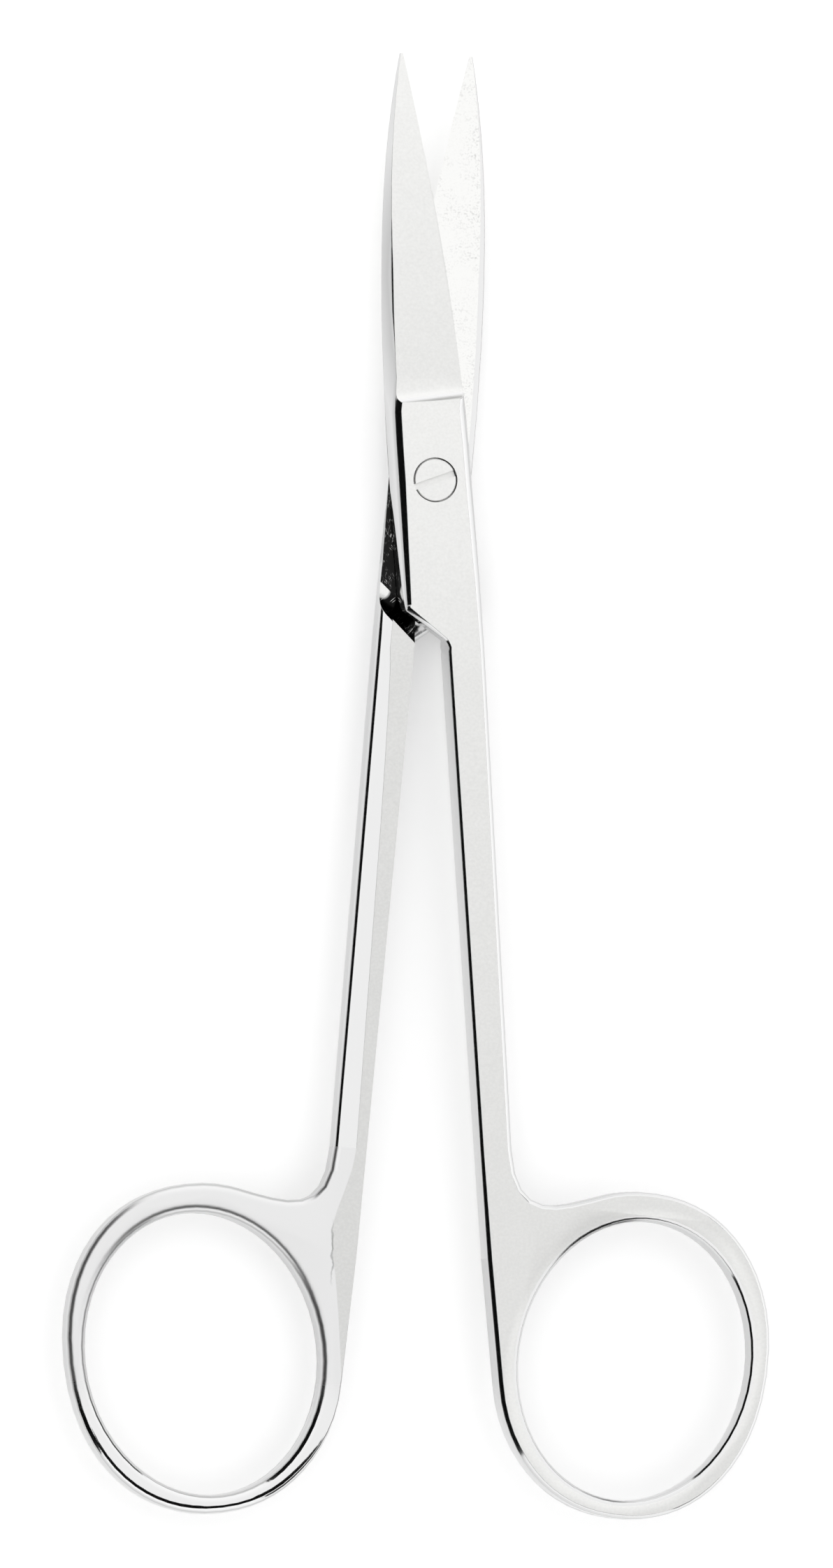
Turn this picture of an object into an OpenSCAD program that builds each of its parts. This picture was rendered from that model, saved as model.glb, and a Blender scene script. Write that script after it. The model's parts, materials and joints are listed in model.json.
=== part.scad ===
// Gum scissors: two forged steel halves in a lap joint, held by one slotted screw.
// Each half is drawn shut, with the pivot on the Z axis, its inner face just above
// z = 0, the blade along +Y and the finger ring to the right of the centre line.
// The lower half is the same forging, turned over about Y.

/* [Blades] */
// Length from the pivot to the points
blade_length = 35.4; // [30:0.1:45]
// Width of each half at the pivot
blade_width = 6.9; // [6.4:0.1:8]
// Thickness of the blade's back where it meets the joint
blade_thickness = 1.65; // [1.4:0.05:1.9]
// Thickness of the point
point_thickness = 0.45; // [0.35:0.05:0.8]
// Width of the blunt point
point_width = 0.24; // [0.16:0.02:0.5]
// Fall of the outer face towards the cutting edge, in degrees
face_fall = 5.5; // [3:0.5:7]
// Width of the ground bevel along the cutting edge
edge_bevel = 0.33; // [0.15:0.01:0.45]
// Width of the sloped back of the blade
back_slope = 0.65; // [0.4:0.05:0.9]
// Width of the fine bevel between the back and the outer face
back_bevel = 0.17; // [0.08:0.01:0.3]
// Width of the broken edge between the back and the inner face
back_break = 0.44; // [0.1:0.02:0.5]
// How full the back bows outwards
back_fullness = 2.75; // [2:0.05:4]
// How full the cutting edge bows outwards
edge_fullness = 1.85; // [1.4:0.05:3]

/* [Joint] */
// Thickness of each half at the joint
joint_thickness = 2.1; // [2:0.05:2.6]
// Distance from the pivot to the foot of the step down to the blade
step_distance = 7.65; // [6:0.05:10]
// Radius of the step's hollow
step_radius = 1.4; // [1:0.1:2]
// Slant of the step across the half, in degrees
step_slant = 4.6; // [0:0.1:8]
// Width of the bevel along the joint's outer edges
joint_bevel = 0.7; // [0.4:0.05:0.8]
// Distance from the pivot to the foot of the shoulder, square to it
shoulder_distance = 8.6; // [7.5:0.1:10]
// Radius of the shoulder's hollow
shoulder_radius = 2.3; // [1.8:0.05:2.4]
// Slant of the shoulder and of the heel that seats in it, in degrees
shoulder_slant = 40; // [34:1:46]
// Reach of the heel past the foot of the shoulder
heel_reach = 1.65; // [1:0.05:1.8]
// Radius of the heel's corner
heel_corner = 0.8; // [0.8:0.1:1.2]
// Radius between the heel and the handle
heel_hollow = 1.3; // [0.8:0.1:1.6]
// Gap between the two inner faces
face_gap = 0.04; // [0.02:0.01:0.1]
// Gap between the heel and the shoulder when shut
heel_gap = 0.3; // [0.2:0.05:0.5]

/* [Screw] */
// Diameter of the screw head
head_d = 3.5; // [3:0.05:4]
// Height of the screw head
head_h = 1; // [0.8:0.05:1.2]
// Diameter of the screw's body
screw_d = 2.2; // [1.8:0.1:2.6]
// Width of the slot
slot_w = 0.5; // [0.3:0.05:0.8]
// Depth of the slot
slot_h = 0.45; // [0.3:0.05:0.6]
// Direction of the slot, in degrees
slot_angle = 20.9; // [0:0.1:90]
// Clearance round the head and the body in the half that turns
running_clearance = 0.09; // [0.03:0.01:0.1]
// Clearance round the body in the half that holds it
seat_clearance = 0.02; // [0.01:0.01:0.05]
// Width of the bevel round the head
head_bevel = 0.07; // [0.03:0.01:0.15]

/* [Handles] */
// Length from the pivot to the end of the finger rings
handle_length = 85.9; // [75:0.1:110]
// Width of the handle behind the joint
handle_width = 3.2; // [2.8:0.05:4]
// Width of the handle at the finger ring
handle_end_width = 2.75; // [2.5:0.05:3.4]
// Depth of the handle behind the shoulder, below the inner face
handle_drop = 0.95; // [0.6:0.05:1.2]
// Gap between the handles when shut
handle_gap = 0.2; // [0.16:0.02:0.6]
// Width of the bevel along the handle's outer edge
handle_bevel = 0.42; // [0.2:0.02:0.6]
// Radius along the handle's outer edge, on its inner side
handle_round = 0.6; // [0.3:0.05:0.8]
// Depth of the flat that is ground along the handle, on its inner side
flat_depth = 0.18; // [0.05:0.01:0.3]
// Width of that flat behind the shoulder
flat_width = 2.05; // [1.5:0.05:2.4]
// Width of that flat before the finger ring
flat_end_width = 0.9; // [0.6:0.05:1.4]
// Width of that flat where it crosses the web
flat_web_width = 2.4; // [1.4:0.05:2.8]

/* [Finger rings] */
// Length of the ring's opening
ring_length = 22.9; // [20:0.1:28]
// Width of the ring's opening
ring_width = 19.3; // [16:0.1:24]
// Lean of the ring's opening away from the centre line, in degrees
ring_lean = 16; // [0:1:20]
// Width of the ring at its sides
ring_side = 1.95; // [1.6:0.05:3]
// Width of the ring at its front
ring_front = 2.65; // [1.8:0.05:3.5]
// Width of the ring at its end
ring_end = 1.75; // [1.6:0.05:3]
// Thickness of the ring
ring_thickness = 2.65; // [2.2:0.05:3.2]
// Radius of the ring's edges on its inner side
ring_round = 0.8; // [0.5:0.05:0.85]
// Radius of the opening's edge on its outer side
ring_rim = 0.45; // [0.2:0.05:0.6]
// Length of the web that joins the handle to the ring
web_length = 4; // [3:0.1:6]

/* [Pose] */
// Opening between the blades as the scissors lie, in degrees
rest_opening = 9.6; // [0:0.1:40]

/* [Hidden] */
$fn = 64;

inner_z = face_gap / 2;
outer_z = inner_z + joint_thickness;
half_w = blade_width / 2;
point_w = point_width / 2;
inner_x = handle_gap / 2;
margin = 5;

// Smaller edges of the forging: how far walls lean in, and how wide bevels are
edge_break = 0.05;
break_height = 0.12;
point_break = 0.03;
joint_draft = 0.28;
heel_draft = 0.15;
corner_bevel = 0.48;
heel_bevel = 0.2;
shank_draft = 0.1;
wall_draft = 0.06;
inner_bevel = 0.24;
side_bevel = 0.34;
rim_bevel = 0.3;
corner_radius = 0.2;

// Small helpers
function mix(a, b, t) = a + (b - a) * t;
function part_way(v, from, to) = min(1, max(0, (v - from) / (to - from)));
function eased(t) = t * t * (3 - 2 * t);
function bezier(a, b, c, d, t) =
    a * pow(1 - t, 3) + b * 3 * t * pow(1 - t, 2) + c * 3 * t * t * (1 - t) + d * pow(t, 3);
function toward(angle) = [cos(angle), sin(angle)];

// An egg-shaped ring outline, by the direction that its edge faces. A fullness of 2
// gives an ellipse and more gives squarer shoulders.
function egg(centre, half_long, half_wide, lean, fullness, facing) =
    let (
        long_way = [sin(lean), cos(lean)],
        wide_way = [cos(lean), -sin(lean)],
        along = half_long * (long_way * toward(facing)),
        across = half_wide * (wide_way * toward(facing)),
        power = fullness / (fullness - 1),
        reach = pow(pow(abs(along), power) + pow(abs(across), power), 1 / power)
    )
    centre
    + long_way * half_long * sign(along) * pow(abs(along) / reach, power - 1)
    + wide_way * half_wide * sign(across) * pow(abs(across) / reach, power - 1);

// The opening of the finger ring, and the outline round it
hole_x_reach = norm([ring_length * sin(ring_lean), ring_width * cos(ring_lean)]) / 2;
hole_y_reach = norm([ring_length * cos(ring_lean), ring_width * sin(ring_lean)]) / 2;
hole_centre = [
    inner_x + ring_side + hole_x_reach,
    -handle_length + ring_end + hole_y_reach
];
rim_flattening = 0.25;
rim_centre = hole_centre + [0, (ring_front - ring_end) / 2];
rim_half_long = ring_length / 2 + (ring_front + ring_end) / 2 - rim_flattening;
rim_half_wide = ring_width / 2 + ring_side - rim_flattening;
rim_lean = 0.74 * ring_lean;
rim_fullness = 2.14;
function hole_at(facing) = egg(hole_centre, ring_length / 2, ring_width / 2, ring_lean, 2, facing);
function rim_at(facing) =
    egg(rim_centre, rim_half_long, rim_half_wide, rim_lean, rim_fullness, facing);

// Where the handle starts, at the end of the heel's hollow, and where the web starts
heel_end = shoulder_distance + heel_reach;
side_x = half_w;
function heel_y(x) = -(heel_end + x * sin(shoulder_slant)) / cos(shoulder_slant);
handle_y = heel_y(inner_x) - heel_hollow * tan((90 - shoulder_slant) / 2);
web_facing = 100;
web_pull = 4.2;
web_drop = 5.9;
web_y = rim_at(90).y + web_length;
shank_x = inner_x + handle_width;
shank_end_x = inner_x + handle_end_width;

// Heights of the outer face and of the handle's inner side along the length
ring_lift = 0.07;
ring_inner_z = ring_lift - ring_thickness / 2;
ring_outer_z = ring_inner_z + ring_thickness;
function along_handle(y) = part_way(y, handle_y, web_y);
function top_z(y) = mix(outer_z, ring_outer_z, along_handle(y));
function bottom_z(y) = mix(inner_z - handle_drop, ring_inner_z, along_handle(y));

// The blade's outer face is a plane: it falls towards the cutting edge and the point
fall = -tan(face_fall);
base_z = inner_z + blade_thickness;
base_x = -half_w + back_slope;
taper = (inner_z + point_thickness - base_z + fall * base_x) / (blade_length - step_distance);
function face_z(x, y) = base_z + fall * (x - base_x) + taper * (y - step_distance);

// Outline of the half. Each row is [x, y, draft, bevel, wall height, inner radius]. A
// lapped row has its outline at the level of the inner face, and instead of the radius
// it has the width of the broken edge, or none where the edge is sharp, and a flag.
blade_steps = 14;
corner_steps = 5;
web_steps = 8;
rim_step = 6;
function blade_y(i) = blade_length * (1 - pow(1 - i / blade_steps, 1.15));
function bow(y, fullness) = point_w + (half_w - point_w) * (1 - pow(y / blade_length, fullness));
function narrowing(y) = min(1, (blade_length - y) / (0.5 * blade_length));
blend_start = step_distance - 2.2;
blend_end = step_distance + 0.4;
bevel_end = step_distance + 4;
function on_blade(y) = eased(part_way(y, blend_start, blend_end));
function joint_wall(y) = top_z(y) - joint_bevel;
function lapped_row(p, draft, bevel, wall, broken) = [
    p.x, p.y, draft, bevel, wall, broken, true
];
function plain_row(p, draft, bevel, radius) = [
    p.x, p.y, draft, bevel, top_z(p.y) - bevel, radius, false
];

function back_row(y) =
    let (
        x = -bow(y, back_fullness),
        slope = point_break + back_slope * narrowing(y),
        wall = min(joint_wall(y), face_z(x + slope, y) - back_bevel * mix(0.3, 1, narrowing(y))),
        bevel = point_break + 1.33 * (top_z(y) - wall) * narrowing(y)
    )
    lapped_row(
        [x, y],
        mix(joint_draft, slope, on_blade(y)),
        mix(joint_bevel, bevel, eased(part_way(y, step_distance, bevel_end))),
        wall,
        point_break + back_break * narrowing(y)
    );
function edge_row(y) =
    let (x = bow(y, edge_fullness), grind = mix(point_break, edge_bevel, narrowing(y)))
    lapped_row(
        [x, y],
        mix(joint_draft, grind, on_blade(y)),
        mix(joint_bevel, point_break, on_blade(y)),
        mix(joint_wall(y), face_z(x - grind, y) + point_break, on_blade(y)),
        0
    );
function heel_row(p, draft, bevel, broken) =
    lapped_row(p, draft, bevel, outer_z - bevel, broken);
function inner_row(p, bevel) = plain_row(p, edge_break, bevel, corner_radius);
function rim_row(facing) =
    plain_row(
        rim_at(facing),
        wall_draft,
        mix(side_bevel, rim_bevel, eased(part_way(facing, 200, 235))),
        mix(corner_radius, ring_round, eased(part_way(facing, 186, 222)))
    );
function outer_row(p) =
    plain_row(
        p,
        mix(shank_draft, wall_draft, along_handle(p.y)),
        handle_bevel,
        handle_round
    );

corner_y = heel_y(-side_x);
corner_turn = 90 - shoulder_slant;
corner_centre = [
    -side_x + heel_corner,
    corner_y + heel_corner * tan(corner_turn / 2)
];
hollow_centre = [inner_x - heel_hollow, handle_y];

back_rows = [for (i = [blade_steps:-1:0]) back_row(blade_y(i))];
heel_rows = [
    for (i = [0:corner_steps])
        let (t = i / corner_steps)
        heel_row(
            corner_centre + heel_corner * toward(180 + corner_turn * t),
            mix(joint_draft, heel_draft, t),
            mix(corner_bevel, 2 * heel_bevel, t),
            mix(back_break, edge_break, t)
        ),
    for (i = [0:corner_steps - 1])
        heel_row(
            hollow_centre + heel_hollow * toward(corner_turn * (1 - i / corner_steps)),
            heel_draft,
            heel_bevel,
            edge_break
        )
];
inner_rows = [
    inner_row([inner_x, handle_y], inner_bevel),
    inner_row([inner_x, web_y], mix(inner_bevel, side_bevel, 0.3)),
    inner_row([inner_x, mix(web_y, rim_centre.y, 0.5)], side_bevel)
];
rim_rows = [for (a = [180:rim_step:360 + web_facing - 1]) rim_row(a)];
web_from = rim_at(web_facing);
web_bend = web_from - web_pull * [sin(web_facing), -cos(web_facing)];
web_rows = [
    for (i = [0:web_steps])
        let (
            t = i / web_steps,
            p = bezier(
                web_from, web_bend, [shank_end_x, web_y - web_drop], [shank_end_x, web_y], t
            )
        )
        plain_row(p, wall_draft, mix(rim_bevel, handle_bevel, t), mix(ring_round, handle_round, t))
];
outer_rows = [
    outer_row([shank_x, handle_y]),
    plain_row(
        [mix(half_w, shank_x, 0.8), -shoulder_distance],
        shank_draft,
        mix(joint_bevel, handle_bevel, 0.6),
        handle_round
    )
];
edge_rows = [for (i = [0:blade_steps]) edge_row(blade_y(i))];

rows = concat(back_rows, heel_rows, inner_rows, rim_rows, web_rows, outer_rows, edge_rows);
row_count = len(rows);
handle_first = len(back_rows) + len(heel_rows);
web_first = handle_first + 1;
ring_first = handle_first + len(inner_rows);
ring_last = ring_first + len(rim_rows);
web_last = ring_last + len(web_rows) - 1;
handle_last = web_last + 1;
edge_first = row_count - len(edge_rows);

// Unit vector into the metal at each point of the outline
function inward(i) =
    let (
        before = rows[(i + row_count - 1) % row_count],
        after = rows[(i + 1) % row_count],
        way = [after.x - before.x, after.y - before.y]
    )
    [-way.y, way.x] / norm(way);
function set_in(i, inset, z) = [
    rows[i].x + inset * inward(i).x,
    rows[i].y + inset * inward(i).y,
    z
];

// The section at each point, from the inner side to the outer face: a quarter round, a
// wall with a little draft, and a bevel in two facets. A lapped row has its broken edge
// instead of the round, and under it plain metal, which the lap mills away.
round_steps = 5;
function rounded_foot(i, radius, low) = [
    for (k = [0:round_steps])
        let (a = 90 * k / round_steps)
        set_in(i, radius * (1 - sin(a)), low + radius * (1 - cos(a)))
];
function lapped_foot(i, r, low) =
    let (
        broken = r[5],
        rise = broken > 0 ? break_height * min(1, broken / back_break) : -edge_break,
        lean = r[2] * rise / (r[4] - inner_z),
        below = inner_z + rise - 1.4 * abs(rise)
    )
    [
        for (k = [0:round_steps - 1])
            set_in(i, lean + 1.4 * broken, mix(low, below, k / (round_steps - 1))),
        set_in(i, lean, inner_z + rise)
    ];
function section(i) =
    let (r = rows[i], low = bottom_z(r.y), high = top_z(r.y))
    concat(
        r[6] ? lapped_foot(i, r, low) : rounded_foot(i, r[5], low),
        [
            set_in(i, r[2], r[4]),
            set_in(i, r[2] + 0.42 * r[3], r[4] + 0.56 * (high - r[4])),
            set_in(i, r[2] + r[3], high)
        ]
    );

// A solid from a stack of loops with the same number of points. Each cap is split
// into flat pieces, given as lists of point numbers. A piece starts at a point from
// which straight lines reach all its other points without leaving it.
module stacked(loops, caps) {
    count = len(loops[0]);
    last = (len(loops) - 1) * count;
    sides = [
        for (k = [0:len(loops) - 2])
            for (i = [0:count - 1])
                let (a = k * count + i, b = k * count + (i + 1) % count)
                [a, a + count, b + count, b]
    ];
    high_caps = [for (cap = caps) [for (j = [0:len(cap) - 1]) cap[(len(cap) - j) % len(cap)] + last]];
    polyhedron(points = [for (loop = loops) each loop], faces = concat(sides, caps, high_caps));
}

function run(from, to) = [for (i = [from:to]) i];

module forging() {
    sections = [for (i = [0:row_count - 1]) section(i)];
    loops = [for (k = [0:len(sections[0]) - 1]) [for (s = sections) s[k]]];
    caps = [
        for (j = [0:blade_steps - 1]) [j, j + 1, row_count - 2 - j, row_count - 1 - j],
        concat(run(edge_first - 1, edge_first), run(blade_steps, handle_first), [handle_last]),
        [handle_first, web_first, web_last, handle_last],
        concat([web_first + 1, ring_first], run(ring_last, web_last), [web_first]),
        run(ring_first, ring_last)
    ];
    stacked(loops, caps);
}

// The opening of the finger ring, flared at both faces
module ring_opening() {
    facings = [for (a = [0:rim_step:359]) a];
    function loop(outset, z) = [
        for (a = facings)
            let (p = hole_at(a) + outset * toward(a))
            [p.x, p.y, z]
    ];
    loops = [
        loop(ring_round, ring_inner_z - margin),
        for (k = [0:round_steps])
            let (a = 90 * k / round_steps)
            loop(ring_round * (1 - sin(a)), ring_inner_z + ring_round * (1 - cos(a))),
        for (k = [0:3])
            let (a = 30 * k)
            loop(ring_rim * (1 - cos(a)), ring_outer_z - ring_rim * (1 - sin(a))),
        loop(ring_rim, ring_outer_z + margin)
    ];
    stacked(loops, [run(0, len(facings) - 1)]);
}

// Grinds the blade's outer face, with a hollow step down from the joint
module blade_grind() {
    normal = [-fall, -taper, 1] / norm([-fall, -taper, 1]);
    turned = [
        normal.x * cos(step_slant) + normal.y * sin(step_slant),
        normal.y * cos(step_slant) - normal.x * sin(step_slant),
        normal.z
    ];
    translate([0, step_distance, face_z(0, step_distance)])
        rotate([-asin(turned.y), atan2(turned.x, turned.z), step_slant])
            rotate([90, 0, 90])
                linear_extrude(4 * blade_width, center = true)
                    polygon([
                        for (i = [0:8])
                            let (a = 270 - 10 * i)
                            [step_radius * cos(a), step_radius * (1 + sin(a))],
                        [-step_radius, 2 * joint_thickness],
                        [blade_length + margin, 2 * joint_thickness],
                        [blade_length + margin, 0]
                    ]);
}

// Mills the inner face flat from the point to the shoulder, which ends in a hollow
module lap() {
    rotate([0, 0, shoulder_slant])
        translate([0, -shoulder_distance, 0]) {
            translate([-2 * blade_length, 0, -margin])
                cube([4 * blade_length, 2 * blade_length, margin + inner_z]);
            translate([0, 0, inner_z - shoulder_radius])
                rotate([0, 90, 0])
                    cylinder(r = shoulder_radius, h = 4 * blade_width, center = true);
        }
}

// Rounds the heel underneath, so that it seats in the other half's shoulder
module heel_relief() {
    intersection() {
        rotate([0, 0, -shoulder_slant])
            translate([-2 * blade_width, -shoulder_distance + heel_gap, 0])
                difference() {
                    translate([0, -margin, -margin])
                        cube([4 * blade_width, margin, margin + shoulder_radius]);
                    translate([-1, 0, inner_z + shoulder_radius])
                        rotate([0, 90, 0])
                            cylinder(r = shoulder_radius, h = 4 * blade_width + 2);
                }
        translate([inner_x - 2 * blade_width, -3 * blade_width, -margin])
            cube([2 * blade_width, 3 * blade_width, 2 * margin]);
    }
}

// Grinds a flat along the handle's inner side. It starts at the shoulder, narrows
// towards the ring, widens where it crosses the web and runs out along the ring.
module handle_flat() {
    drop = bottom_z(handle_y) - bottom_z(web_y);
    flat_end = rim_centre.y - 3;
    bulge_y = mix(web_y, rim_centre.y, 0.45);
    function flat_x(y) =
        y > web_y ? mix(flat_width, flat_end_width, pow(part_way(y, handle_y, web_y), 0.6))
        : y > bulge_y ? mix(flat_end_width, flat_web_width, eased(part_way(y, web_y, bulge_y)))
        : mix(flat_web_width, 0.1, pow(part_way(y, bulge_y, flat_end), 0.7));
    stations = [
        handle_y + 2 * heel_hollow,
        for (i = [0:8]) mix(handle_y, web_y, pow(i / 8, 1.5)),
        for (i = [1:12]) mix(web_y, flat_end, i / 12)
    ];
    length_y = handle_y - web_y;
    translate([0, handle_y, bottom_z(handle_y) + flat_depth])
        rotate([atan(drop / length_y), 0, 0])
            translate([0, -handle_y, -margin])
                linear_extrude(margin)
                    polygon([
                        [inner_x - 1, stations[0]],
                        [inner_x - 1, flat_end],
                        for (j = [len(stations) - 1:-1:0]) [inner_x + flat_x(stations[j]), stations[j]]
                    ]);
}

module half() {
    difference() {
        forging();
        ring_opening();
        blade_grind();
        lap();
        heel_relief();
        handle_flat();
    }
}

module upper_half() {
    color("silver")
        translate([0, 0, outer_z])
            rotate([0, 0, rest_opening / 2])
                difference() {
                    half();
                    cylinder(d = screw_d + 2 * running_clearance, h = 3 * outer_z, center = true);
                    translate([0, 0, outer_z - head_h - running_clearance])
                        cylinder(d = head_d + 2 * running_clearance, h = outer_z);
                }
}

module lower_half() {
    color("silver")
        translate([0, 0, outer_z])
            rotate([0, 180, -rest_opening / 2])
                difference() {
                    half();
                    cylinder(d = screw_d + 2 * seat_clearance, h = 3 * outer_z, center = true);
                }
}

module pivot_screw() {
    head_top = 2 * outer_z;
    color("gainsboro")
        rotate([0, 0, slot_angle])
            difference() {
                union() {
                    cylinder(d = screw_d, h = head_top - head_h);
                    translate([0, 0, head_top - head_h])
                        cylinder(d = head_d, h = head_h - head_bevel);
                    translate([0, 0, head_top - head_bevel])
                        cylinder(d1 = head_d, d2 = head_d - 2 * head_bevel, h = head_bevel);
                }
                translate([-head_d, -slot_w / 2, head_top - slot_h])
                    cube([2 * head_d, slot_w, head_h]);
            }
}

upper_half();
lower_half();
pivot_screw();
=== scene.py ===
# %% [markdown]
# # Gum scissors: how the steel gets its finish
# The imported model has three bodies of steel: two forged halves and the screw between them.
# Their shape is finished, so this lesson is about surfaces. On the real instrument every
# face shows the tool that made it: a belt for the flat outer faces, a buffing wheel for the
# edges and rings, a stone for the inner faces of the blades. A render of plain metal shows
# none of that, which is why each half is sorted face by face before it gets a material.

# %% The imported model
import json
import math

import bmesh
import bpy
from mathutils import Matrix, Vector


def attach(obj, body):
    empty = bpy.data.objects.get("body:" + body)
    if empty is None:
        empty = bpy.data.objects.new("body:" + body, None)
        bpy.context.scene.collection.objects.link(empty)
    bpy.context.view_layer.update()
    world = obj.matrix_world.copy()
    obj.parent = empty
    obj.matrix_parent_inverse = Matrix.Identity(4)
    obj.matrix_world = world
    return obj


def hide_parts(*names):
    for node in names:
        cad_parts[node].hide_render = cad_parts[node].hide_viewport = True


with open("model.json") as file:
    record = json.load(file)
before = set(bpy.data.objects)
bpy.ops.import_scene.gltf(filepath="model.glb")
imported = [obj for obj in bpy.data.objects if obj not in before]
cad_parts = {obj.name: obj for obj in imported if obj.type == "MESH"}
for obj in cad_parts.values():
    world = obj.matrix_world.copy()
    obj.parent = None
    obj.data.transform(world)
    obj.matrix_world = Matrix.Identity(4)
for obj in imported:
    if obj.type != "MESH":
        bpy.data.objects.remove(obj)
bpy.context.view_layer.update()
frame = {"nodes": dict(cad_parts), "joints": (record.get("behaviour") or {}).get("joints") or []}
print("solids:", sorted(frame["nodes"]))

# %% [markdown]
# ## Where each half was forged
# A finish belongs to a place on the forging: the hollow of the shoulder, the back of the
# blade. Those places are simple to name while the half lies shut and square on the bench,
# with the blade along +Y and the outer face up. The photograph shows the halves open, so
# one matrix for each takes a point of the model back to the bench, in millimetres.
# The lower half is the same forging turned over, so its matrix turns it over again.

# %% Bench frames
MM = 0.001
PIVOT = Vector(frame["joints"][0]["pos_m"])
OPENING = math.radians(-frame["joints"][0]["range_deg"][0])


def bench(turned_over):
    """The matrix from the model to the half's own place on the bench, in millimetres."""
    to_pivot = Matrix.Translation(-PIVOT)
    shut = Matrix.Rotation(OPENING / 2 if turned_over else -OPENING / 2, 4, "Z")
    over = Matrix.Rotation(math.pi if turned_over else 0, 4, "Y")
    return Matrix.Scale(1 / MM, 4) @ over @ shut @ to_pivot


print("rest opening in degrees:", round(math.degrees(OPENING), 2))

# %% [markdown]
# ## Writing shaders as sums
# A node tree is easier to read as arithmetic. The class below wraps one socket: a sum or a
# product of two of them adds a Math node, and `node` adds any other kind.

# %% Sockets that can be added and multiplied
class Wire:
    """An output socket that takes part in sums, such as 1 - mask or grain * 0.2 + tone."""

    def __init__(self, tree, socket=None):
        self.tree = tree
        self.socket = socket

    def node(self, kind, settings=None, sockets=None, out=0):
        """Adds a node of any kind: its settings first, then its sockets' values or links."""
        made = self.tree.nodes.new(kind)
        for name, value in (settings or {}).items():
            if name == "stops":
                ramp = made.color_ramp.elements
                while len(ramp) < len(value):
                    ramp.new(0.5)
                for stop, (place, shade) in zip(ramp, value):
                    stop.position = place
                    stop.color = (shade, shade, shade, 1)
            else:
                setattr(made, name, value)
        for key, value in (sockets or {}).items():
            if isinstance(value, Wire):
                self.tree.links.new(value.socket, made.inputs[key])
            else:
                made.inputs[key].default_value = value
        return Wire(self.tree, made.outputs[out] if made.outputs else None)

    def math(self, operation, *terms):
        return self.node("ShaderNodeMath", {"operation": operation}, dict(enumerate(terms)))

    def __add__(self, other):
        return self.math("ADD", self, other)

    __radd__ = __add__

    def __mul__(self, other):
        return self.math("MULTIPLY", self, other)

    __rmul__ = __mul__

    def __sub__(self, other):
        return self.math("SUBTRACT", self, other)

    def __rsub__(self, other):
        return self.math("SUBTRACT", other, self)

    def ramp(self, *stops):
        """Reads this value off a ramp of (place, shade) stops."""
        return self.node("ShaderNodeValToRGB", {"stops": stops}, {"Fac": self})

    def mix(self, low, high):
        """The colour that lies between low and high by this value."""
        return self.node("ShaderNodeMix", {"data_type": "RGBA"}, {0: self, 6: low, 7: high}, out=2)


def grey(shade, alpha=1):
    return (shade, shade, shade * 0.985, alpha)


def shader(name):
    """A new material without nodes, as a Wire to hang its first node on."""
    material = bpy.data.materials.new(name)
    material.use_nodes = True
    material.node_tree.nodes.clear()
    return material, Wire(material.node_tree)


def millimetres(wire, stretch=(1, 1, 1)):
    """The place on the piece in millimetres, stretched along each axis."""
    place = wire.node("ShaderNodeTexCoord", out=3)
    scale = tuple(s / MM for s in stretch)
    return wire.node("ShaderNodeMapping", None, {"Vector": place, "Scale": scale})


def noise(wire, place, size, detail=2.0, rough=0.5):
    """Cloudy noise whose largest lumps are about size millimetres across."""
    sockets = {"Vector": place, "Scale": 1 / size, "Detail": detail, "Roughness": rough}
    return wire.node("ShaderNodeTexNoise", None, sockets)


def bump(wire, height, depth, under=None):
    """Normals of a relief that is depth millimetres deep, laid over other normals if given."""
    sockets = {"Height": height, "Distance": depth * MM, "Strength": 1.0}
    if under:
        sockets["Normal"] = under
    return wire.node("ShaderNodeBump", None, sockets)


def level(normal):
    """How level a surface is, from 0 on a wall to 1 on a flat face."""
    height = normal.node("ShaderNodeSeparateXYZ", None, {0: normal}, out=2)
    return height.math("ABSOLUTE", height)


def steel(wire, colour, roughness, normal=None):
    """Bare metal, joined to the material's output."""
    sockets = {"Base Color": colour, "Roughness": roughness, "Metallic": 1.0}
    if normal:
        sockets["Normal"] = normal
    surface = wire.node("ShaderNodeBsdfPrincipled", None, sockets)
    wire.node("ShaderNodeOutputMaterial", None, {"Surface": surface})


# %% [markdown]
# ## Satin faces
# The outer faces are drawn over a fine belt and then brushed, which leaves a pale face
# without reflections and with a grain that can only just be seen. A rough metal does that.
# The grain is a fine bump with a little of it in the colour as well, because a bump this
# small would vanish between the pixels.

# %% Satin steel
SATIN_TONE = 0.93
GROUND_TONE = 0.85
SATIN_GRAIN = 0.22
BLADE_END = 50
RING_CENTRE = (17.9, -71.6, 0)
RING_LEAN = math.radians(-20.8)
RING_HALF = (9.65, 11.45, 1000)
SCAR_CENTRE = (-7.5, -63.2)
SCAR_HALF = 2.8
SCAR_DRIFT = 0.7


def ring_reach(place):
    """The distance from the middle of the right ring, which is 1 on the edge of its hole."""
    moved = place.node("ShaderNodeVectorMath", {"operation": "SUBTRACT"}, {0: place, 1: RING_CENTRE})
    turned = place.node("ShaderNodeMapping", None, {"Vector": moved, "Rotation": (0, 0, -RING_LEAN)})
    scaled = place.node("ShaderNodeVectorMath", {"operation": "DIVIDE"}, {0: turned, 1: RING_HALF})
    return place.node("ShaderNodeVectorMath", {"operation": "LENGTH"}, {0: scaled}, out=1)


def scar(wire, place):
    """The one ragged line where the stone ran off the left handle's ground flat."""
    across = place.node("ShaderNodeSeparateXYZ", None, {0: place}, out=0)
    along = place.node("ShaderNodeSeparateXYZ", None, {0: place}, out=1)
    drift = (noise(wire, place, 1.1, detail=4) - 0.5) * SCAR_DRIFT
    off = wire.math("ABSOLUTE", across - SCAR_CENTRE[0] + drift)
    past = wire.math("ABSOLUTE", along - SCAR_CENTRE[1]) * (0.5 / SCAR_HALF)
    return off.ramp((0.03, 1), (0.11, 0)) * past.ramp((0.20, 1), (0.50, 0)) * 0.45


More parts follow.
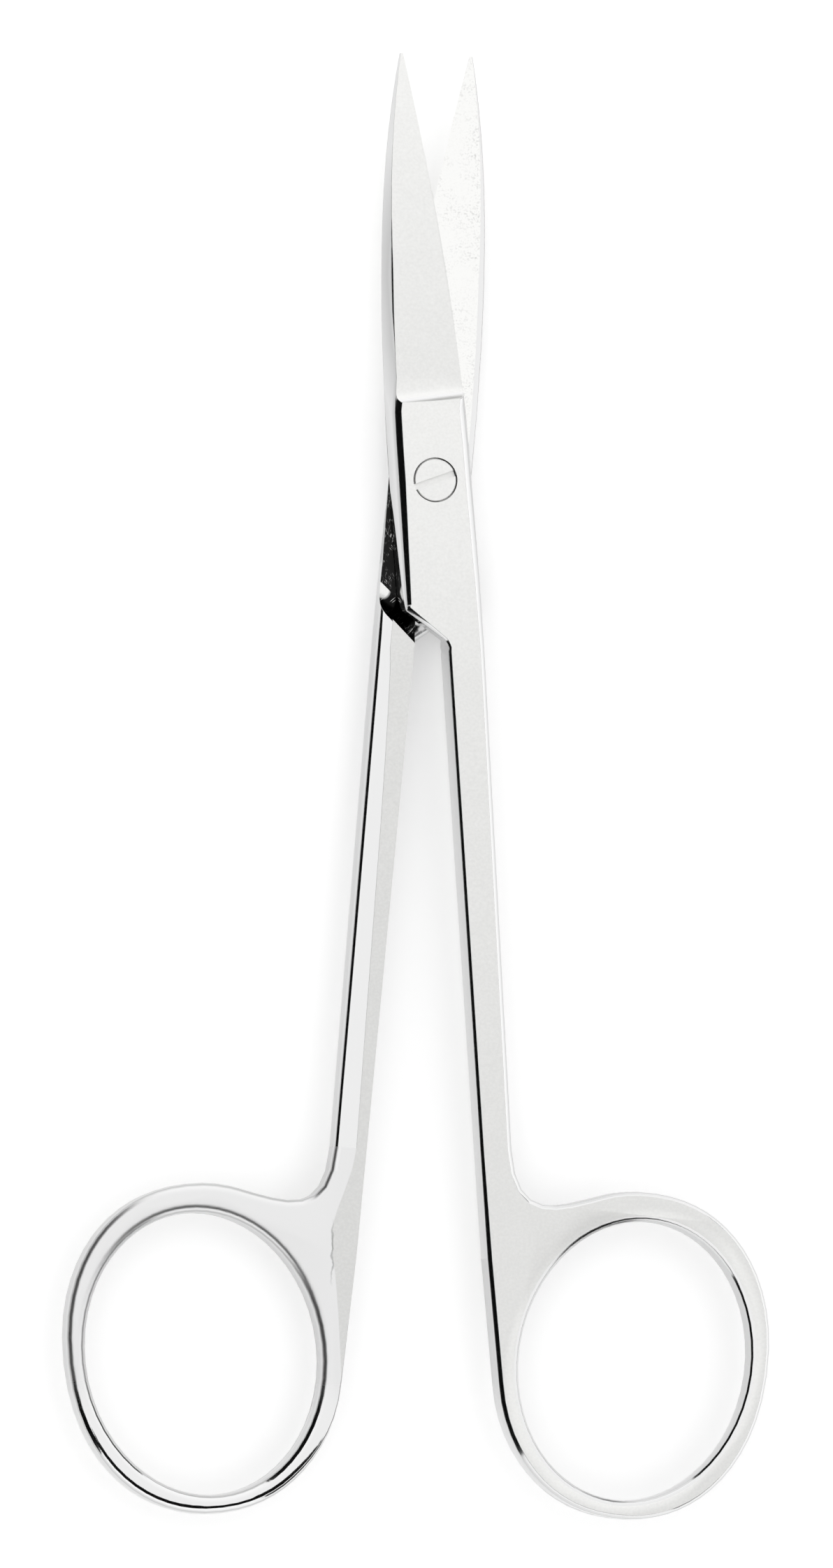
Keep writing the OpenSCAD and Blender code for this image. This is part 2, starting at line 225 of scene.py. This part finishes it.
def satin_steel(name="satin_steel", brightness=SATIN_TONE):
    material, wire = shader(name)
    place = millimetres(wire)
    grain = noise(wire, place, SATIN_GRAIN, detail=3)
    cloud = noise(wire, place, 2.5, detail=2)
    along = place.node("ShaderNodeSeparateXYZ", None, {0: place}, out=1)
    # Painted light: the colour is set by the place along the length, greyest at the rings' end, paler
    # towards the joint, greyer again where the blade begins and palest at the point, in place of the
    # reflections of the surroundings.
    shade = (along * (0.5 / BLADE_END) + 0.5).ramp(
        (0.0, 0.12), (0.34, 0.30), (0.46, 0.58), (0.56, 0.70), (0.59, 0.15), (0.72, 0.44), (0.93, 1.0)
    )
    # Painted highlight: faces that slope a little, such as the ramp in front of the joint, are painted
    # paler than the level satin.
    ground = level(wire.node("ShaderNodeNewGeometry", out=1))
    ramp = ground.ramp((0.93, 1), (0.992, 0))
    wheel = (ring_reach(place) * 0.5).ramp((0.53, 1), (0.56, 0))
    tone = (grain - 0.5) * 1.0 + (cloud - 0.5) * 0.25 + shade + ramp * 0.5 + wheel * 0.7
    bright = tone.mix(grey(brightness - 0.07), grey(brightness + 0.07))
    steel(wire, scar(wire, place).mix(bright, grey(0.10)), 0.42, bump(wire, grain, 0.004))
    return material


# %% [markdown]
# ## Polished edges and rings
# A buffing wheel reaches the bevels, the rounded insides of the handles and the rings. It
# leaves a mirror that is not quite even, so what it reflects has crisp but wavy borders.
# Its colour is painted by how level the surface is: the walls and the lower slope of each
# bevel are painted greyer, a band partway up each bevel darker and the slope above it
# palest, as painted shade and reflection. No edge of real steel is perfectly sharp. The
# Bevel node rounds the normals beside every edge by a tenth of a millimetre, which draws
# the hairline of light along it, partly as a real reflection and partly through the painted
# colour that reads these normals.

# %% Polished steel
# Painted shade and light, read off how level the surface is: grey walls, a dark band partway up each
# bevel and pale upper slopes.
PAINTED_LIGHT_BY_LEVEL = ((0.0, 0.64), (0.40, 0.70), (0.58, 0.50), (0.70, 0.74), (0.80, 0.95), (0.93, 0.90), (0.99, 0.85))
WORN_EDGE = 0.1
SOFT = 0.30
SHARP_POLISH = 0.10
FRONT_FROM = 0.735
FRONT_TO = 0.77


def polished_steel():
    material, wire = shader("polished_steel")
    waves = noise(wire, millimetres(wire, (1, 0.35, 1)), 1.6, detail=1)
    worn = wire.node("ShaderNodeBevel", {"samples": 6}, {"Radius": WORN_EDGE * MM})
    # The colour is painted shade and light by how level the rounded normal is.
    steel(wire, level(worn).ramp(*PAINTED_LIGHT_BY_LEVEL), 0.11, bump(wire, waves, 0.005, worn))
    return material


def buffed_steel():
    """The rings' insides: soft behind, and a sharper mirror towards their front."""
    material, wire = shader("buffed_steel")
    place = millimetres(wire)
    waves = noise(wire, place, 0.5, detail=2)
    slope = level(wire.node("ShaderNodeNewGeometry", out=1))
    along = place.node("ShaderNodeSeparateXYZ", None, {0: place}, out=1)
    softness = (along * -0.01).ramp((FRONT_FROM, SOFT), (FRONT_TO, SHARP_POLISH))
    # The colour is painted shade and light by how level the surface is, as on the polished edges, with
    # the dark ragged line over it.
    bright = scar(wire, place).mix(slope.ramp(*PAINTED_LIGHT_BY_LEVEL), grey(0.10))
    steel(wire, bright, softness, bump(wire, waves, 0.004))
    return material


# %% [markdown]
# ## The inner faces
# The blades meet on faces that are stoned flat, so they are the brightest part of the
# instrument and are covered with hair scratches in all directions. Round the pivot the
# halves rub on each other, which leaves scratches that show bright; the steel between them
# is painted nearly black, a painted shade for the recess beside the other half. The hollow
# of the shoulder is painted nearly black as well, as a painted reflection of the dark, with
# a painted highlight where its foot begins.

# %% Stoned steel, and the lap and hollow painted dark
def scratches(wire, turn, width=0.05, length=1.4):
    """Fine lines, one way, as a value that is high on a scratch."""
    place = wire.node("ShaderNodeTexCoord", out=3)
    sockets = {"Vector": place, "Rotation": (0, 0, turn)}
    turned = wire.node("ShaderNodeMapping", None, sockets)
    sockets = {"Vector": turned, "Scale": (1 / (width * MM), 1 / (length * MM), 1)}
    stretched = wire.node("ShaderNodeMapping", None, sockets)
    lines = wire.node("ShaderNodeTexNoise", None, {"Vector": stretched, "Scale": 1, "Detail": 1})
    return lines.ramp((0.60, 0), (0.68, 1))


def stoned_steel():
    material, wire = shader("stoned_steel")
    place = millimetres(wire)
    specks = noise(wire, place, 0.17, detail=2).ramp((0.50, 0), (0.72, 1))
    patches = noise(wire, place, 2.6, detail=3).ramp((0.40, 0.1), (0.70, 1))
    steel(wire, (specks * patches).mix(grey(0.99), grey(0.70)), 0.3, bump(wire, specks, 0.001))
    return material


def lap_steel_painted_dark():
    material, wire = shader("lap_steel_painted_dark")
    place = millimetres(wire)
    lines = scratches(wire, 0.25, width=0.09, length=0.7) + scratches(wire, -0.6, width=0.07, length=0.5)
    clouds = noise(wire, place, 0.9, detail=3).ramp((0.46, 0), (0.70, 1))
    # Painted shade: the lap is painted nearly black, as its recess beside the other half looks, and its
    # real scratches paler.
    steel(wire, (lines * clouds).mix(grey(0.015), grey(0.62)), 0.2, bump(wire, lines, 0.002))
    return material


FOOT_HIGHLIGHT_CENTRE = (-3.95, -9.0, 2.1)


def hollow_steel():
    material, wire = shader("hollow_steel")
    lines = scratches(wire, 0.87, width=0.08, length=1.6)
    place = millimetres(wire)
    end = noise(wire, place, 1.1, detail=2).ramp((0.50, 0), (0.66, 1))
    sockets = {0: place, 1: FOOT_HIGHLIGHT_CENTRE}
    away = wire.node("ShaderNodeVectorMath", {"operation": "DISTANCE"}, sockets, out=1)
    # Painted highlight: a pale patch round the place where the hollow's foot begins.
    painted_foot_highlight = (away * 0.5).ramp((0.30, 1), (0.42, 0))
    # Painted reflection of the dark: the hollow is painted nearly black, with scratches that show paler
    # in patches.
    steel(wire, (lines * end + painted_foot_highlight).mix(grey(0.012), grey(0.9)), 0.16, bump(wire, lines, 0.002))
    return material


FINISHES = {
    "satin": satin_steel(),
    "ground": satin_steel("ground_steel", GROUND_TONE),
    "polished": polished_steel(),
    "buffed": buffed_steel(),
    "stoned": stoned_steel(),
    "lap_painted_dark": lap_steel_painted_dark(),
    "hollow": hollow_steel(),
}
FINISH_NAMES = list(FINISHES)
print("finishes:", FINISH_NAMES)

# %% [markdown]
# ## Sorting the faces
# The tools reach a face by its direction and its place, so two questions sort the forging:
# which way does the face look, and where on the bench does it lie? A face that looks
# straight up is satin. One that looks straight down is part of the lap if it lies before
# the shoulder, and part of the handle's ground flat if it lies behind it. All the others
# are polished, apart from the shoulder's hollow.

# %% Which tool finished a face
SHOULDER_DISTANCE = 8.6
SHOULDER_WIDTH = 1.9
SHOULDER_SLANT = math.radians(40)
STONED_FROM = 7.2
LAP_ENDS = -11.3
FLAT_LEVEL = -0.96
RING_BEGINS = -55
TOWARD_SHOULDER = Vector((math.sin(SHOULDER_SLANT), -math.cos(SHOULDER_SLANT), 0))


def finish_of(centre, normal):
    """The name of the finish of a face, by its centre and normal on the bench."""
    reach = centre.dot(TOWARD_SHOULDER)
    if normal.z > 0.985:
        return "satin"
    if normal.z > 0.8 and 7 < centre.y < 10:
        return "satin"
    if normal.z < -0.99 and reach < SHOULDER_DISTANCE + 0.1:
        return "stoned" if centre.y > STONED_FROM else "lap_painted_dark"
    in_hollow = SHOULDER_DISTANCE < reach < SHOULDER_DISTANCE + SHOULDER_WIDTH
    if in_hollow and normal.z < -0.5 and normal.dot(TOWARD_SHOULDER) < 0.01:
        return "hollow"
    if normal.z < -0.99 and centre.y < LAP_ENDS and abs(centre.z - FLAT_LEVEL) < 0.03:
        return "ground"
    if normal.z < 0.3 and centre.y < RING_BEGINS:
        return "buffed"
    return "polished"


# %% [markdown]
# ## Dressing the halves
# A finish ends at an edge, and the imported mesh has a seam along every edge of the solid.
# So the dressed half is a copy in which those seams are welded, flat neighbours are joined,
# edges that turn more than a few degrees stay sharp and all others shade smoothly.

# %% A welded copy with its finishes
WELD = 0.002 * MM
FLAT = math.radians(0.3)
SHARP = math.radians(27)


def dressed(node, turned_over):
    """A welded copy of a forged half, with a material on each face."""
    source = frame["nodes"][node]
    mesh = bpy.data.meshes.new(node + "_steel")
    work = bmesh.new()
    work.from_mesh(source.data)
    bmesh.ops.remove_doubles(work, verts=work.verts, dist=WELD)
    bmesh.ops.dissolve_limit(work, angle_limit=FLAT, verts=work.verts, edges=work.edges)
    to_bench = bench(turned_over)
    turn = to_bench.to_3x3().normalized()
    for face in work.faces:
        centre = to_bench @ face.calc_center_median()
        face.material_index = FINISH_NAMES.index(finish_of(centre, turn @ face.normal))
        face.smooth = True
    for edge in work.edges:
        edge.smooth = len(edge.link_faces) == 2 and edge.calc_face_angle() < SHARP
    work.to_mesh(mesh)
    work.free()
    for material in FINISHES.values():
        mesh.materials.append(material)
    piece = bpy.data.objects.new(node + "_steel", mesh)
    bpy.context.scene.collection.objects.link(piece)
    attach(piece, node)
    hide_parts(node)
    counts = {name: 0 for name in FINISH_NAMES}
    for face in mesh.polygons:
        counts[FINISH_NAMES[face.material_index]] += 1
    print(node, len(mesh.polygons), "faces:", counts)
    return piece


upper = dressed("upper_half", turned_over=False)
lower = dressed("lower_half", turned_over=True)

# %% [markdown]
# ## The screw
# The head is ground flush together with the joint, so it has the same satin, and so has
# the rest of the screw.

# %% Screw
screw = frame["nodes"]["pivot_screw"]
screw.data.materials.clear()
screw.data.materials.append(FINISHES["satin"])

# %% [markdown]
# ## A pale table and soft light
# Bright steel shows its surroundings. White all round would make it vanish into the
# background, and photographers hang dark cards round it for that reason: the bevels that
# look at a card turn black and draw the shape. One card stands at the left, where the long
# bevels of the joint and handles look. A grey one at the right darkens the edges that face
# away. A third hangs higher, in front, where only the round back of the left ring sees it.

# %% Table
def plain(name, shade, glow=0.0):
    """A dull material. Its glow is only seen, straight or in a reflection, and lights nothing."""
    material, wire = shader(name)
    sockets = {"Base Color": (shade, shade, shade, 1), "Roughness": 0.9, "Specular IOR Level": 0.0}
    surface = wire.node("ShaderNodeBsdfPrincipled", None, sockets)
    if glow:
        sockets.update({"Emission Color": (1, 1, 1, 1), "Emission Strength": glow})
        glowing = wire.node("ShaderNodeBsdfPrincipled", None, sockets)
        seen = wire.node("ShaderNodeLightPath", out=0) + wire.node("ShaderNodeLightPath", out=3)
        surface = wire.node("ShaderNodeMixShader", None, {0: seen, 1: surface, 2: glowing})
    wire.node("ShaderNodeOutputMaterial", None, {"Surface": surface})
    return material


def sheet(name, corners, material):
    """A flat sheet of the stage."""
    mesh = bpy.data.meshes.new(name)
    mesh.from_pydata(corners, [], [tuple(range(len(corners)))])
    mesh.materials.append(material)
    made = bpy.data.objects.new(name, mesh)
    bpy.context.scene.collection.objects.link(made)
    return made


TABLE_HALF = 3.0
table = sheet(
    "table",
    [(x * TABLE_HALF, y * TABLE_HALF, 0) for x, y in ((-1, -1), (1, -1), (1, 1), (-1, 1))],
    plain("table_white", 0.88, glow=0.26),
)

# %% Cards
CARD_RADIUS = 0.5
CARD_STEPS = 24


def card(name, from_way, to_way, low, high, shade):
    """A curved card round the instrument, seen in reflections only. The angles are in degrees."""
    corners = []
    for i in range(CARD_STEPS + 1):
        way = math.radians(from_way + (to_way - from_way) * i / CARD_STEPS)
        for rise in (low, high):
            height = math.tan(math.radians(rise))
            corners.append(CARD_RADIUS * Vector((math.cos(way), math.sin(way), height)))
    mesh = bpy.data.meshes.new(name)
    strips = [(2 * i, 2 * i + 2, 2 * i + 3, 2 * i + 1) for i in range(CARD_STEPS)]
    mesh.from_pydata(corners, [], strips)
    mesh.materials.append(plain(name, shade))
    made = bpy.data.objects.new(name, mesh)
    bpy.context.scene.collection.objects.link(made)
    made.visible_camera = False
    made.visible_diffuse = False
    made.visible_shadow = False
    made.visible_transmission = False


card("card_left", 118, 226, 1, 48, 0.004)
card("card_right", -60, 40, 3, 24, 0.06)
card("card_front", 222, 328, 30, 62, 0.004)
print("cards: left, right and front")

# %% World
SKY = 1.0
world = bpy.data.worlds.new("studio")
bpy.context.scene.world = world
world.use_nodes = True
world.node_tree.nodes.clear()
sky = Wire(world.node_tree)
glow = sky.node("ShaderNodeBackground", None, {"Color": (1, 1, 1, 1), "Strength": SKY})
sky.node("ShaderNodeOutputWorld", None, {"Surface": glow})

# %% [markdown]
# ## The camera
# The photograph looks down on the instrument, from a little to the left and below, at
# about a metre. The place where it looks and its lean were fitted to the outline.

# %% Camera
LOOK_AT = Vector((-0.00074, -0.02479, 0.002))
LEAN_LEFT = 0.2193
LEAN_BACK = 0.0714
DISTANCE = 0.805
ROLL = -0.01452
PHOTO_HEIGHT = 2245
PIXELS_PER_METRE = 17517

toward_camera = Vector((-LEAN_LEFT, -LEAN_BACK, 1)).normalized()
image_up = Vector((math.sin(ROLL), math.cos(ROLL), 0))
right = image_up.cross(toward_camera).normalized()
up = toward_camera.cross(right)
lens = bpy.data.cameras.new("camera")
lens.sensor_fit = "VERTICAL"
lens.sensor_height = 36
lens.lens = lens.sensor_height * DISTANCE * PIXELS_PER_METRE / PHOTO_HEIGHT
lens.clip_end = 10
camera = bpy.data.objects.new("camera", lens)
camera.matrix_world = Matrix.Translation(LOOK_AT + DISTANCE * toward_camera) @ Matrix(
    (right, up, toward_camera)
).transposed().to_4x4()
bpy.context.scene.collection.objects.link(camera)
bpy.context.scene.camera = camera
print("lens in millimetres:", round(lens.lens, 1))

# %% Colour and closing
bpy.context.scene.view_settings.view_transform = "Standard"
